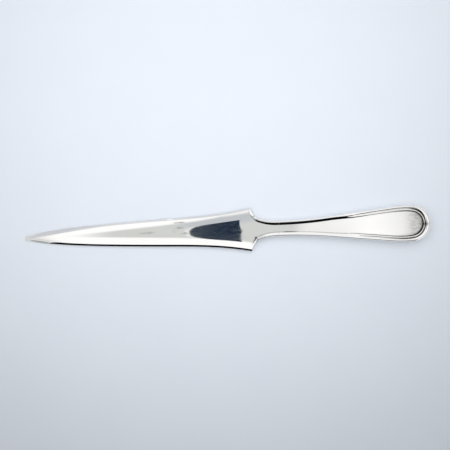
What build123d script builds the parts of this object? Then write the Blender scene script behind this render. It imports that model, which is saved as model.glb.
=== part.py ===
from build123d import *

import os
from math import asin, atan, atan2, cos, degrees, exp, hypot, pi, radians, sin, sqrt

# Letter opener: a double-edged blade whose tang is cemented into a hollow handle struck in two halves.
#
# Flat frame, used while building: X runs from the shoulder (X = 0) towards the handle's round end, Y runs
# across, and Z = 0 is the middle plane, which holds the blade's edges and the handle's seam. The last step
# lays the finished pieces down on the handle's back. All sizes are in millimetres.

# Blade: straight tapering sides between a swelling point, rounded off at its tip, and a flare in front of the
# shoulder
BLADE_LENGTH = 106.3
SHOULDER_WIDTH = 20.2
BASE_THICKNESS = 2.5
POINT_THICKNESS = 0.9
POINT_WIDTH = 1.68
POINT_BELLY = 4.2
POINT_RUN = 17.5
POINT_RADIUS = 1.2
POINT_FLAT = 0.4
SIDE_TAPER = 0.0342
FLARE_LENGTH = 40.0
FLARE_POWER = 3.05
EDGE_THICKNESS = 0.62
BEVEL_WIDTH = 0.75
CROWN_RISE = 0.52
BLADE_SECTIONS = 22
SECTION_CROWDING = 1.6

# Shoulder and neck: on each side a tight concave arc from the corner and then an easy one to the neck, which
# ends in a short stub that the handle is soldered to
CORNER_LAND = 0.4
CORNER_TURN = 87.0
NECK_RADIUS = 24.0
NECK_TURN = 20.0
NECK_WIDTH = 7.25
NECK_RUN = 2.1
NECK_STUB = 1.0
BEAD_TURN = 64.0
BEAD_SINK = 0.06
PANEL_CROWN = 0.01

# Handle
HANDLE_LENGTH = 83.7
END_WIDTH = 16.8
END_RUN = 11.4
STRAIGHT_SHARE = 0.5
SWELL_SHARE = 0.235
POINT_LIFT = 0.03

# Thread border: an outer bead on the edge, an inner bead that fades out towards the neck, and a sunk panel
BEAD_RADIUS = 0.7
BEAD_LEDGE = 0.06
BEAD_FLAT = 0.02
PANEL_DEPTH = 0.35
THREAD_GAP = 0.04
INNER_BEAD_RADIUS = 0.5
INNER_BEAD_RISE = 0.22
INNER_BEAD_RUN = 44.0

# Inside the handle
PANEL_WALL = 0.55
SIDE_WALL = 1.55
SOLDER = 0.1
SOLDER_SETBACK = 0.03
TANG_ROOT = 5.0
TANG_END_WIDTH = 2.6
CEMENT_ABOVE_TANG = 0.2
CEMENT_BESIDE_TANG = 0.5
CEMENT_BEYOND_TANG = 24.0
CEMENT_FIT = 0.02

# Larger than any piece, for the blocks that trim one
TRIM = 300.0

SHOULDER_HALF = SHOULDER_WIDTH / 2
BASE_HALF = BASE_THICKNESS / 2
NECK_HALF = NECK_WIDTH / 2
END_HALF = END_WIDTH / 2

# The panel starts level with the crown of the blade, and the bead stands above it
MOUTH_HALF = BASE_HALF + PANEL_DEPTH

# Both faces of the handle lean out from the middle plane, so that the point just clears the table
LEAN = atan((MOUTH_HALF - POINT_THICKNESS / 2 - POINT_LIFT) / BLADE_LENGTH)

# Concave side of the shoulder, from the corner to the neck. The tight arc's radius makes the two arcs meet.
FLARE_TURN = radians(CORNER_TURN)
EASY_TURN = radians(NECK_TURN)
EASY_DROP = NECK_RADIUS * (1 - cos(EASY_TURN))
FLARE_RADIUS = (SHOULDER_HALF - NECK_HALF - EASY_DROP) / (cos(EASY_TURN) - cos(FLARE_TURN))
FLARE_CENTRE_X = CORNER_LAND + FLARE_RADIUS * sin(FLARE_TURN)
FLARE_CENTRE_Y = SHOULDER_HALF + FLARE_RADIUS * cos(FLARE_TURN)
NECK_START = FLARE_CENTRE_X + (NECK_RADIUS - FLARE_RADIUS) * sin(EASY_TURN)
JOINT_X = NECK_START + NECK_STUB
MOUTH_X = JOINT_X + SOLDER

# Each side of the handle: parallel neck, concave arc, straight, and a tighter convex arc past the widest place
SIDE_START = NECK_START + NECK_RUN
WIDEST_X = HANDLE_LENGTH - END_RUN
SIDE_DX = WIDEST_X - SIDE_START
SIDE_DY = END_HALF - NECK_HALF
STRAIGHT = STRAIGHT_SHARE * hypot(SIDE_DX, SIDE_DY)
BOTH_RADII = (SIDE_DX**2 + SIDE_DY**2 - STRAIGHT**2) / (2 * SIDE_DY)
SWELL_RADIUS = SWELL_SHARE * BOTH_RADII
SIDE_RADIUS = BOTH_RADII - SWELL_RADIUS
SIDE_ANGLE = atan2(SIDE_DY - BOTH_RADII, SIDE_DX) + atan2(BOTH_RADII, STRAIGHT)

# The round end touches both convex arcs from inside
TO_WIDEST = SWELL_RADIUS - END_HALF
TO_END = SWELL_RADIUS - END_RUN
END_SHIFT = (TO_WIDEST**2 - TO_END**2) / (2 * TO_END)
END_RADIUS = END_RUN - END_SHIFT
END_TURN = asin(END_SHIFT / (SWELL_RADIUS - END_RADIUS))

BEAD_INSET = BEAD_LEDGE + BEAD_RADIUS
BEAD_CENTRE_Z = BEAD_FLAT - BEAD_RADIUS
INNER_BEAD_INSET = BEAD_INSET + BEAD_RADIUS + THREAD_GAP + INNER_BEAD_RADIUS

# Plane of the front bead's flat crown
CROWN = Plane(origin=(0, 0, MOUTH_HALF), x_dir=(cos(LEAN), 0, sin(LEAN)), z_dir=(-sin(LEAN), 0, cos(LEAN)))


def crown_height(x):
    """Half thickness of the handle, over the bead, at a place along it."""
    return MOUTH_HALF + x * sin(LEAN)


def hollow_height(x):
    """Half height of the hollow in the handle at a place along it."""
    return crown_height(x) - PANEL_DEPTH - PANEL_WALL


def above(z):
    """Block that holds everything above a height."""
    return Pos(0, 0, z + TRIM / 2) * Box(TRIM, TRIM, TRIM)


def beyond(x):
    """Block that holds everything on the handle's side of a place along the length."""
    return Pos(x + TRIM / 2, 0, 0) * Box(TRIM, TRIM, TRIM)


def column(plan):
    """Plan outline made into a column that is taller than any piece."""
    return extrude(plan, amount=TRIM / 2, both=True)


def half_width(run):
    """Half width of the blade at a distance from its point."""
    point = POINT_WIDTH / 2 + (POINT_BELLY - POINT_WIDTH / 2) * (1 - exp(-run / POINT_RUN))
    unflared = POINT_BELLY + SIDE_TAPER * BLADE_LENGTH
    into_flare = max(0.0, 1 - (BLADE_LENGTH - run) / FLARE_LENGTH)
    return point + SIDE_TAPER * run + (SHOULDER_HALF - unflared) * into_flare**FLARE_POWER


def section_corners(width, height):
    """Inner edge of the bevel and the blunt edge, as (y, z), for a half width and a half thickness."""
    share = height / BASE_HALF
    bevel = BEVEL_WIDTH * (1 - exp(-width / BEVEL_WIDTH))
    inner = (width - bevel, height - CROWN_RISE * share)
    edge = (width, EDGE_THICKNESS / 2 * share)
    return inner, edge


def lens_section(x, inner, edge, crown):
    """Section across the length: two shallow arcs between four bevels and two blunt edges."""
    right = [(x, *inner), (x, *edge), (x, edge[0], -edge[1]), (x, inner[0], -inner[1])]
    left = [(x, -y, -z) for x, y, z in right]
    outline = [
        ThreePointArc(left[3], (x, 0, crown), right[0]),
        ThreePointArc(right[3], (x, 0, -crown), left[0]),
    ]
    for side in (right, left):
        outline += [Line(start, end) for start, end in zip(side, side[1:])]
    return make_face(outline)


def blade_section(run):
    """Section of the blade at a distance from its point."""
    height = (POINT_THICKNESS + (BASE_THICKNESS - POINT_THICKNESS) * run / BLADE_LENGTH) / 2
    return lens_section(run - BLADE_LENGTH, *section_corners(half_width(run), height), height)


def point_cut():
    """Space in front of the rounded point, which keeps a narrow flat at its tip."""
    depth = sqrt(POINT_RADIUS**2 - (POINT_FLAT / 2) ** 2)
    block = Pos(-BLADE_LENGTH, 0) * Rectangle(POINT_WIDTH, 4 * POINT_WIDTH)
    return column(block - Pos(depth - BLADE_LENGTH, 0) * Circle(POINT_RADIUS))


def bare_blade():
    """Blade from its blunt point to the shoulder, with its sections crowded towards the point."""
    shares = [(i / BLADE_SECTIONS) ** SECTION_CROWDING for i in range(BLADE_SECTIONS + 1)]
    return loft([blade_section(BLADE_LENGTH * share) for share in shares]) - point_cut()


def on_easy_arc(inset, turn):
    """Point on the easy arc beside the neck at an inset, turned from the neck."""
    radius = NECK_RADIUS + inset
    return (NECK_START - radius * sin(turn), NECK_HALF + NECK_RADIUS - radius * cos(turn))


def on_flare(inset, turn):
    """Point on the tight arc of the shoulder at an inset, turned from the neck towards the corner."""
    radius = FLARE_RADIUS + inset
    return (FLARE_CENTRE_X - radius * sin(turn), FLARE_CENTRE_Y - radius * cos(turn))


def concave_side(inset, side, last_turn):
    """Easy arc and tight arc from the neck towards the shoulder's corner, on one side."""
    points = [on_easy_arc(inset, EASY_TURN * share) for share in (0, 0.5)]
    points += [on_flare(inset, EASY_TURN + (last_turn - EASY_TURN) * share) for share in (0, 0.5, 1)]
    points = [(x, side * y) for x, y in points]
    return [ThreePointArc(*points[:3]), ThreePointArc(*points[2:])]


def flare_cut(side):
    """Space outside the shoulder's concave side and the neck, on one side."""
    last = JOINT_X + NECK_STUB
    corner = on_flare(0, pi / 2)
    path = [corner, (corner[0], SHOULDER_WIDTH), (last, SHOULDER_WIDTH), (last, NECK_HALF), on_easy_arc(0, 0)]
    path = [(x, side * y) for x, y in path]
    return column(make_face([*concave_side(0, side, pi / 2), *Polyline(*path).edges()]))


def shoulder():
    """Body that leads from the base of the blade to the flat neck, with both flares cut out of it."""
    panel_z = crown_height(JOINT_X) - PANEL_DEPTH
    neck_inner = (NECK_HALF - BEAD_INSET - BEAD_RADIUS, panel_z - PANEL_CROWN)
    neck_edge = (SHOULDER_HALF + CORNER_LAND, EDGE_THICKNESS / 2)
    neck = lens_section(JOINT_X, neck_inner, neck_edge, panel_z)
    body = loft([blade_section(BLADE_LENGTH), neck], ruled=True)
    return body - flare_cut(1) - flare_cut(-1)


def shoulder_bead(side):
    """Outer bead from the joint along one side of the shoulder, sinking into the blade's base."""
    turn = radians(BEAD_TURN)
    neck_y = NECK_HALF - BEAD_INSET
    end_y = on_flare(BEAD_INSET, turn)[1]
    face_y = section_corners(SHOULDER_HALF, BASE_HALF)[0][0]
    end_z = BASE_HALF - CROWN_RISE * (end_y / face_y) ** 2 - BEAD_SINK
    dive = asin((MOUTH_HALF - end_z) / (end_y - neck_y))
    start = (JOINT_X + NECK_STUB, side * neck_y)
    path = Wire([Line(start, (NECK_START, side * neck_y)), *concave_side(BEAD_INSET, side, turn)])
    rod = sweep(Plane(origin=(*start, 0), z_dir=(-1, 0, 0)) * Circle(BEAD_RADIUS), path=path)
    sloping = Plane(
        origin=(0, side * neck_y, BEAD_CENTRE_Z), x_dir=(1, 0, 0), z_dir=(0, side * sin(dive), cos(dive))
    )
    dived = sloping.location * Pos(0, -side * neck_y, 0) * rod
    return CROWN.location * (dived - above(0))


def tang(fit):
    """Tang from inside the blade's base into the handle, grown by a fit on every side."""
    root = NECK_HALF - SIDE_WALL - CEMENT_BESIDE_TANG + fit
    tip = TANG_END_WIDTH / 2 + fit
    end = HANDLE_LENGTH - SIDE_WALL - CEMENT_BEYOND_TANG
    upper = [(-TANG_ROOT, root), (MOUTH_X, root), (end, tip)]
    lower = [(x, -y) for x, y in upper]
    outline = [Line(upper[0], lower[0]), ThreePointArc(upper[2], (end + tip, 0), lower[2])]
    for side in (upper, lower):
        outline += [Line(start, stop) for start, stop in zip(side, side[1:])]
    return extrude(make_face(outline), amount=hollow_height(JOINT_X) - CEMENT_ABOVE_TANG + fit, both=True)


def forged_blade():
    """Blade, shoulder, neck stub and tang, in one piece."""
    blade = bare_blade() + shoulder()
    for side in (1, -1):
        bead = shoulder_bead(side)
        blade += bead
        blade += mirror(bead, about=Plane.XY)
    return blade - beyond(JOINT_X) + tang(0)


def side_points(inset, start):
    """Points along the +Y side of the handle, at an inset from its outline."""
    bend = SIDE_RADIUS + inset
    swell = SWELL_RADIUS - inset
    bend_y = NECK_HALF + SIDE_RADIUS
    swell_y = END_HALF - SWELL_RADIUS
    bends = (0, SIDE_ANGLE / 2, SIDE_ANGLE)
    swells = (SIDE_ANGLE, (SIDE_ANGLE - END_TURN) / 2, -END_TURN)
    concave = [(SIDE_START + bend * sin(turn), bend_y - bend * cos(turn)) for turn in bends]
    convex = [(WIDEST_X - swell * sin(turn), swell_y + swell * cos(turn)) for turn in swells]
    return [(start, NECK_HALF - inset), *concave, *convex]


def handle_outline(inset, start):
    """Outline of the handle at an inset, open at the neck, from the -Y side to the +Y side."""
    upper = side_points(inset, start)
    lower = [(x, -y) for x, y in upper]
    return [
        Line(lower[0], lower[1]),
        ThreePointArc(*lower[1:4]),
        Line(lower[3], lower[4]),
        ThreePointArc(*lower[4:7]),
        ThreePointArc(lower[6], (HANDLE_LENGTH - inset, 0), upper[6]),
        ThreePointArc(*reversed(upper[4:7])),
        Line(upper[4], upper[3]),
        ThreePointArc(*reversed(upper[1:4])),
        Line(upper[1], upper[0]),
    ]


def handle_plan(inset, start):
    """Plan of the handle at an inset, closed by a straight line at the neck."""
    outline = handle_outline(inset, start)
    return make_face(outline + [Line((start, NECK_HALF - inset), (start, inset - NECK_HALF))])


def along_edge(profile, inset, start):
    """Sweep a profile along the handle's edge, with the profile's X pointing in from the edge."""
    at_start = Plane(origin=(start, inset - NECK_HALF, 0), x_dir=(0, 1, 0), z_dir=(1, 0, 0))
    return sweep(at_start * profile, path=Wire(handle_outline(inset, start)))


def rim(start, depth):
    """Edge wall of the handle with its outer bead, under the crown plane."""
    outer = (BEAD_LEDGE, BEAD_CENTRE_Z)
    top = (BEAD_INSET, BEAD_CENTRE_Z + BEAD_RADIUS)
    inner = (BEAD_INSET + BEAD_RADIUS, BEAD_CENTRE_Z)
    wall = Polyline(inner, (inner[0], -depth), (0, -depth), (0, BEAD_CENTRE_Z), outer)
    return along_edge(make_face([ThreePointArc(outer, top, inner), *wall.edges()]), 0, start)


def inner_bead(start):
    """Inner bead: a rod on a plane that sinks under the panel towards the neck."""
    sink = degrees(atan(INNER_BEAD_RISE / INNER_BEAD_RUN))
    end_z = INNER_BEAD_RISE - PANEL_DEPTH - INNER_BEAD_RADIUS
    rod = along_edge(Circle(INNER_BEAD_RADIUS), INNER_BEAD_INSET, start)
    return Pos(HANDLE_LENGTH, 0, end_z) * Rot(0, -sink, 0) * Pos(-HANDLE_LENGTH, 0, 0) * rod


def handle_block(mouth):
    """Upper half of the handle before it is hollowed."""
    start = mouth - NECK_STUB
    depth = 2 * crown_height(HANDLE_LENGTH)
    panel = extrude(Pos(0, 0, -PANEL_DEPTH) * handle_plan(BEAD_INSET, start), amount=PANEL_DEPTH - depth)
    block = rim(start, depth) + panel + inner_bead(start) - above(0)
    return (CROWN.location * block) & beyond(mouth)


def hollow(mouth, fit):
    """Upper half of the hollow in the handle, shrunk by a fit on every side."""
    roof = Pos(0, 0, -PANEL_DEPTH - PANEL_WALL - fit) * handle_plan(SIDE_WALL + fit, mouth - NECK_RUN)
    space = CROWN.location * extrude(roof, amount=-crown_height(HANDLE_LENGTH))
    return space & beyond(mouth) & above(0)


def handle_half():
    """Front half of the handle."""
    return (handle_block(MOUTH_X) & above(SOLDER / 2)) - hollow(JOINT_X, 0)


def seam_film():
    """Solder between the two halves, a little narrower than the wall of the handle."""
    film = extrude(handle_plan(SOLDER_SETBACK, JOINT_X), amount=SOLDER / 2, both=True)
    return (film & beyond(MOUTH_X)) - column(handle_plan(SIDE_WALL - SOLDER_SETBACK, NECK_START))


def neck_film():
    """Solder between the neck stub and the handle's mouth, pierced by the tang."""
    bead_z = crown_height(JOINT_X) + BEAD_CENTRE_Z
    panel_z = crown_height(JOINT_X) - PANEL_DEPTH
    bead_span = NECK_WIDTH - 2 * BEAD_INSET
    section = Rectangle(NECK_WIDTH - 2 * SOLDER_SETBACK, 2 * bead_z)
    section += Rectangle(bead_span, 2 * (panel_z - SOLDER_SETBACK))
    section += GridLocations(bead_span, 2 * bead_z, 2, 2) * Circle(BEAD_RADIUS - SOLDER_SETBACK)
    across = Plane(origin=(JOINT_X, 0, 0), x_dir=(0, 1, 0), z_dir=(1, 0, 0))
    return extrude(across * section, amount=SOLDER) - tang(CEMENT_FIT)


def cement():
    """Cement that fills the hollow handle round the tang."""
    half = hollow(MOUTH_X + CEMENT_FIT, CEMENT_FIT)
    return half + mirror(half, about=Plane.XY) - tang(CEMENT_FIT)


def laid_down(piece):
    """Turn a finished piece from the flat frame so that the handle's back lies on the table."""
    centred = (BLADE_LENGTH - HANDLE_LENGTH) / 2
    return Pos(centred, 0, MOUTH_HALF * cos(LEAN)) * Rot(0, -degrees(LEAN), 0) * piece


front = handle_half()
pieces = {
    "blade": forged_blade(),
    "neck_solder": neck_film(),
    "handle_front": front,
    "handle_back": mirror(front, about=Plane.XY),
    "seam_solder": seam_film(),
    "handle_filler": cement(),
}

os.makedirs("parts", exist_ok=True)
for name, piece in pieces.items():
    export_step(laid_down(piece), f"parts/{name}.step")
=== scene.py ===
from math import asin, atan, atan2, cos, hypot, pi, radians, sin, sqrt, tan

import bmesh
import bpy
import numpy as np
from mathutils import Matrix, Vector
from mathutils.geometry import tessellate_polygon


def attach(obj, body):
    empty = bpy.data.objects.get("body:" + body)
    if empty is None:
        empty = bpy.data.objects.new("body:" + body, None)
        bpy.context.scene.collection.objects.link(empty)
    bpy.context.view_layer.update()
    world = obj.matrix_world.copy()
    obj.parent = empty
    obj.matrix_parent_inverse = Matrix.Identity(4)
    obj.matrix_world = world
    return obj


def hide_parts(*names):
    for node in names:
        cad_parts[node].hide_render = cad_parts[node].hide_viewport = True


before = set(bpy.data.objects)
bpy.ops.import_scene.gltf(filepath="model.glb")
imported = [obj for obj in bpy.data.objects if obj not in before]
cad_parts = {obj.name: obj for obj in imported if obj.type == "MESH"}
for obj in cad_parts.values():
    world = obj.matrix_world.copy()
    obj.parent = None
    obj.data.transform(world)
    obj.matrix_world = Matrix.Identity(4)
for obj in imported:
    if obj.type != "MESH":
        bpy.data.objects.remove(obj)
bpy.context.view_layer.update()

# The object's own sizes, in millimetres, as the solids have them. Flat frame: X = 0 at the shoulder, +X
# towards the handle's round end, Z = 0 in the middle plane. laid_down() turns it into the row frame, in
# metres.
BLADE_LENGTH = 106.3
SHOULDER_WIDTH = 20.2
BASE_THICKNESS = 2.5
POINT_THICKNESS = 0.9
POINT_WIDTH = 1.68
POINT_BELLY = 4.2
POINT_RUN = 17.5
POINT_RADIUS = 1.2
POINT_FLAT = 0.4
SIDE_TAPER = 0.0342
FLARE_LENGTH = 40.0
FLARE_POWER = 3.05
EDGE_THICKNESS = 0.62
BEVEL_WIDTH = 0.75
CROWN_RISE = 0.52
CORNER_LAND = 0.4
FLARE_TURN = radians(87.0)
NECK_RADIUS = 24.0
EASY_TURN = radians(20.0)
NECK_WIDTH = 7.25
NECK_RUN = 2.1
NECK_STUB = 1.0
HANDLE_LENGTH = 83.7
END_WIDTH = 16.8
END_RUN = 11.4
STRAIGHT_SHARE = 0.5
SWELL_SHARE = 0.235
POINT_LIFT = 0.03
PANEL_DEPTH = 0.35
PANEL_WALL = 0.55
SIDE_WALL = 1.55
SOLDER = 0.1
TANG_END_WIDTH = 2.6
CEMENT_ABOVE_TANG = 0.2
CEMENT_BESIDE_TANG = 0.5
CEMENT_BEYOND_TANG = 24.0

SHOULDER_HALF = SHOULDER_WIDTH / 2
BASE_HALF = BASE_THICKNESS / 2
NECK_HALF = NECK_WIDTH / 2
END_HALF = END_WIDTH / 2
MOUTH_HALF = BASE_HALF + PANEL_DEPTH
POINT_CENTRE = sqrt(POINT_RADIUS**2 - (POINT_FLAT / 2) ** 2)
LEAN = atan((MOUTH_HALF - POINT_THICKNESS / 2 - POINT_LIFT) / BLADE_LENGTH)
EASY_DROP = NECK_RADIUS * (1 - cos(EASY_TURN))
FLARE_RADIUS = (SHOULDER_HALF - NECK_HALF - EASY_DROP) / (cos(EASY_TURN) - cos(FLARE_TURN))
FLARE_CENTRE_X = CORNER_LAND + FLARE_RADIUS * sin(FLARE_TURN)
FLARE_CENTRE_Y = SHOULDER_HALF + FLARE_RADIUS * cos(FLARE_TURN)
NECK_START = FLARE_CENTRE_X + (NECK_RADIUS - FLARE_RADIUS) * sin(EASY_TURN)
JOINT_X = NECK_START + NECK_STUB
MOUTH_X = JOINT_X + SOLDER
LAND_SLOPE = CORNER_LAND / JOINT_X
SIDE_START = NECK_START + NECK_RUN
WIDEST_X = HANDLE_LENGTH - END_RUN
SIDE_DX = WIDEST_X - SIDE_START
SIDE_DY = END_HALF - NECK_HALF
STRAIGHT = STRAIGHT_SHARE * hypot(SIDE_DX, SIDE_DY)
BOTH_RADII = (SIDE_DX**2 + SIDE_DY**2 - STRAIGHT**2) / (2 * SIDE_DY)
SWELL_RADIUS = SWELL_SHARE * BOTH_RADII
SIDE_RADIUS = BOTH_RADII - SWELL_RADIUS
SIDE_ANGLE = atan2(SIDE_DY - BOTH_RADII, SIDE_DX) + atan2(BOTH_RADII, STRAIGHT)
TO_WIDEST = SWELL_RADIUS - END_HALF
TO_END = SWELL_RADIUS - END_RUN
END_SHIFT = (TO_WIDEST**2 - TO_END**2) / (2 * TO_END)
END_RADIUS = END_RUN - END_SHIFT
END_CENTRE = WIDEST_X + END_SHIFT
END_TURN = asin(END_SHIFT / (SWELL_RADIUS - END_RADIUS))

# Rounding of the crease between the blade's face and its bevel, on the -Y and the +Y side, and the distance
# from the centre line within which one turns into the other
LOW_CREASE = 0.06
HIGH_CREASE = 0.02
CREASE_CHANGE = 0.5

# Thinning of the blade's face over its last run to the point, and the least half thickness
TIP_THINNING = 0.8
TIP_THINNING_RUN = 0.4
LEAST_HALF = 0.02

# Border of the handle, in millimetres in from the edge and down from the crown. The slack keeps the bead's
# outer side just short of upright.
BEAD_CROWN = 0.62
BEAD_SLACK = 0.01
BEAD_TOP = 0.68
BEAD_INSIDE = 0.66
BEAD_DROP = 0.6
SLOPE_START = 0.78
SLOPE_WIDTH = 1.3
INNER_BEAD = 2.0
INNER_BEAD_RADIUS = 0.5
INNER_BEAD_CROWN = 0.13
INNER_GROOVE = 0.52
GROOVE_DEPTH = 0.05
GROOVE_WIDTH = 0.16
END_SPREAD = 1.05
SPREAD_LEAD = 3.0
SLOPE_SOFTNESS = 0.02
THREAD_SOFTNESS = 0.05
BORDER_REACH = 3.5
INNER_BEAD_START = 43.0
INNER_BEAD_FULL = 60.0
SLOPE_DRIFT = 0.5
SLOPE_DRIFT_LEAD = 7.0
SLOPE_DRIFT_RUN = 9.0

# Along the shoulder's concave side the border's slope narrows, steepens and moves towards the edge, until it
# is gone short of the corner. The bead's outer rounding fades out there too, and the rim starts along X.
RIM_NARROWING = 0.68
RIM_NARROW_FROM = radians(3)
RIM_NARROW_TO = radians(45)
RIM_GONE = radians(70)
RIM_STEEPENING = 0.42
RIM_STEEPEN_FROM = radians(14)
RIM_STEEPEN_TO = radians(33)
RIM_SHIFT = 0.4
RIM_SHIFT_FROM = radians(10)
RIM_SHIFT_TO = radians(65)
LOW_SIDE_SHIFT = 0.3
LOW_SIDE_SHIFT_FROM = radians(25)
LOW_SIDE_SHIFT_TO = radians(45)
LEAST_RIM = 0.001
RIM_ROUND_FROM = radians(15)
RIM_ROUND_TO = radians(45)
RIM_START = (-4.0, -2.0)

# Rows of the blade's surface, from its edge to the centre line: how far a row keeps its first direction and
# where it bends, the length at which its points have their full spacing, and the two bands near the edge
# where they lie close together, with the points in each
ROW_REACH = 2.6
ROW_REACH_SHARE = 0.35
ROW_BEND_SHARE = 0.4
ROW_SAMPLES = 400
FULL_ROW = 6.0
EDGE_BAND = 1.0
EDGE_POINTS = 16
BORDER_BAND = 3.0
BORDER_POINTS = 21

# The rows crowd together towards the point and are even near the shoulder, where they turn towards the
# corner and bow forward
EVEN_RUN = 99.0
ROW_CROWDING = 1.7
CROWDED_ROWS = 116
EVEN_ROWS = 30
CORNER_TURN = radians(45)
CORNER_TURN_START = -5.0
CORNER_TURN_BLEND = 0.5
ROW_BOW = 1.85
ROW_BOW_START = -8.0

# Rows that start on the two arcs of the shoulder's concave side and on the neck stub
TIGHT_ROWS = 64
EASY_ROWS = 26
STUB_ROWS = 5

# Rows of the handle's surface that start on its neck, on the side's concave arc, straight and swell, and on
# the round end, and the points of each row on the bead's outside, on the rest of the border, on the panel and
# on the hollow's roof
NECK_ROWS = 6
SIDE_ROWS = 36
STRAIGHT_ROWS = 44
SWELL_ROWS = 30
END_ROWS = 60
BEAD_POINTS = 12
RIM_POINTS = 52
PANEL_POINTS = 9
ROOF_POINTS = 9

# Steps on the panel beyond the border, the distance from the edge that counts for the rest of the panel, and
# limits near the round end
PANEL_STEPS = (0.3, 0.7, 1.2)
PANEL_INSET = 2 * BORDER_REACH
SHORT_OF_AXIS = 0.98
LEAST_INWARD = 1e-6

# The tang reaches into the neck stub, and its rounded end stops just short of a sharp tip
TANG_ROOT = 0.4
TANG_TIP_GAP = 0.05
TANG_TIP_ROWS = 9
TANG_POINTS = 5

# Joining of coincident points and slivers, in metres, and the angle from which an edge is a crease
JOIN_DISTANCE = 1e-7
SLIVER = 1e-8
CREASE_ANGLE = radians(40)

# Dark residue, wiping marks and the painted shade of a shallow dent on the blade's front, and the clot across
# both grooves at the handle's end: place along and across, half sizes, amount
RESIDUE = (
    (2.5, -3.95, 0.55, 0.45, 1.3), (2.05, -4.75, 0.3, 0.4, 1.1), (1.68, -5.2, 0.25, 0.35, 1.1),
    (1.3, -5.9, 0.2, 0.6, 0.45),
)
MARKS_AND_DENT_SHADE = (
    # The first is the painted shade of a shallow dent, the others are wiping marks
    (-48.6, 0.3, 3.4, 0.45, 1.6), (-33.3, 4.6, 2.6, 0.32, 2.2), (-33.0, 2.1, 1.7, 0.4, 1.7),
    (-31.0, -0.6, 1.4, 0.5, 1.1), (-35.5, 0.8, 1.0, 0.8, 0.5),
)
END_CLOT = (81.3, -0.5, 1.4, 0.8, 0.7)

# Line of residue along the foot of the border's slope: its place on the slope, width and amount, its darkest
# stretch, and where it starts and ends along X
FOOT_SHARE = 0.9
FOOT_LINE_WIDTH = 0.2
FOOT_LINE = 0.65
FOOT_DARKER = 1.5
FOOT_DARK_X = 18.0
FOOT_DARK_LENGTH = 3.2
FOOT_START = (2.5, 5.0)
FOOT_END = (44.0, 52.0)

# Line of residue on the rim's slope beside the +Y corner: amount, width, and the turns between which it comes
# in, fades and is gone
RIM_LINE = 0.9
RIM_LINE_WIDTH = 0.17
RIM_LINE_FROM = (radians(38), radians(46))
RIM_LINE_TO = (radians(54), radians(62))
RIM_LINE_FADE = 0.8
RIM_LINE_GONE = radians(80)

# Residue in the handle's two grooves, and shade beside the inner one: distances in from the edge, from the
# inner bead and from that groove, and widths, which grow round the end
OUTER_LINE_IN = 1.42
OUTER_LINE_WIDTH = 0.16
OUTER_LINE_GROWTH = 0.12
INNER_LINE_IN = 0.56
INNER_LINE_WIDTH = 0.18
INNER_LINE_GROWTH = 0.08
GROWTH_ALONG = (72.0, 80.0)
SHADE_IN = 0.45
SHADE_WIDTH = 0.4

# Amounts of it, each with the places along X between which it comes in: round the end, and on the -Y and the
# +Y side. The outer line's end starts earlier on the -Y side. The change of side is across Y.
OUTER_END = (1.4, 72.5, 77.5)
OUTER_END_EARLIER = (9.5, 2.5)
OUTER_LOW = (0.35, 56.0, 64.0)
OUTER_HIGH = (0.3, 58.0, 64.0)
INNER_END = (1.4, 62.0, 78.0)
INNER_LOW = (0.8, 45.0, 51.0)
INNER_HIGH = (0.25, 56.0, 70.0)
SHADE_END = (0.3, 75.0, 80.0)
SHADE_END_LOW = (0.5, 75.0, 80.0)
SHADE_LOW = (0.25, 66.0, 74.0)
SIDE_CHANGE = (-3.0, 5.0)

# Patchy film on the panel near the round end: amount along X, and distances in from the edge
PANEL_FILM = (1.5, 70.0, 80.0)
PANEL_FILM_IN = (2.6, 3.4)


def smooth(value, low, high):
    """Ease from 0 to 1 between two values."""
    share = np.clip((value - low) / (high - low), 0, 1)
    return share * share * (3 - 2 * share)


def lower_of(a, b, radius):
    """Smaller of two heights, with the crease between them rounded."""
    blend = np.clip(0.5 + 0.5 * (b - a) / radius, 0, 1)
    return b + (a - b) * blend - radius * blend * (1 - blend)


def higher_of(a, b, radius):
    """Larger of two heights, with the crease between them rounded."""
    return -lower_of(-a, -b, radius)


def hump(value, centre, width):
    """Soft bump of height 1."""
    return np.exp(-(((value - centre) / width) ** 2))


def spot(x, y, at_x, at_y, long, wide, amount):
    """Soft round mark."""
    return amount * hump(x, at_x, long) * hump(y, at_y, wide)


def coming_in(x, amount, start, full):
    """Amount that comes in along X between two places."""
    return amount * smooth(x, start, full)


def laid_down(points):
    """Points from the flat frame in millimetres to the row frame in metres."""
    x, y, z = np.moveaxis(np.asarray(points, float), -1, 0)
    along = x * cos(LEAN) - z * sin(LEAN) + (BLADE_LENGTH - HANDLE_LENGTH) / 2
    up = x * sin(LEAN) + z * cos(LEAN) + MOUTH_HALF * cos(LEAN)
    return np.stack([along, y, up], -1) / 1000


def crown_height(x):
    """Half thickness of the handle over its bead."""
    return MOUTH_HALF + x * tan(LEAN)


def half_width(run):
    """Half width of the blade at a distance from its point, which is rounded off."""
    point = POINT_WIDTH / 2 + (POINT_BELLY - POINT_WIDTH / 2) * (1 - np.exp(-run / POINT_RUN))
    unflared = POINT_BELLY + SIDE_TAPER * BLADE_LENGTH
    into_flare = np.clip(1 - (BLADE_LENGTH - run) / FLARE_LENGTH, 0, None)
    full = point + SIDE_TAPER * run + (SHOULDER_HALF - unflared) * into_flare**FLARE_POWER
    off_centre = np.clip(POINT_CENTRE - run, 0, POINT_RADIUS)
    rounded = np.minimum(full, np.sqrt(POINT_RADIUS**2 - off_centre**2))
    return np.where(run < POINT_WIDTH / 2, rounded, full)


def bead_depth(q):
    """Outer bead: depth of its surface under the crown at a distance from the edge."""
    outside = np.clip((BEAD_CROWN - q) / (BEAD_CROWN + BEAD_SLACK), 0, 1)
    return BEAD_DROP * (1 - np.sqrt(1 - outside**2))


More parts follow.
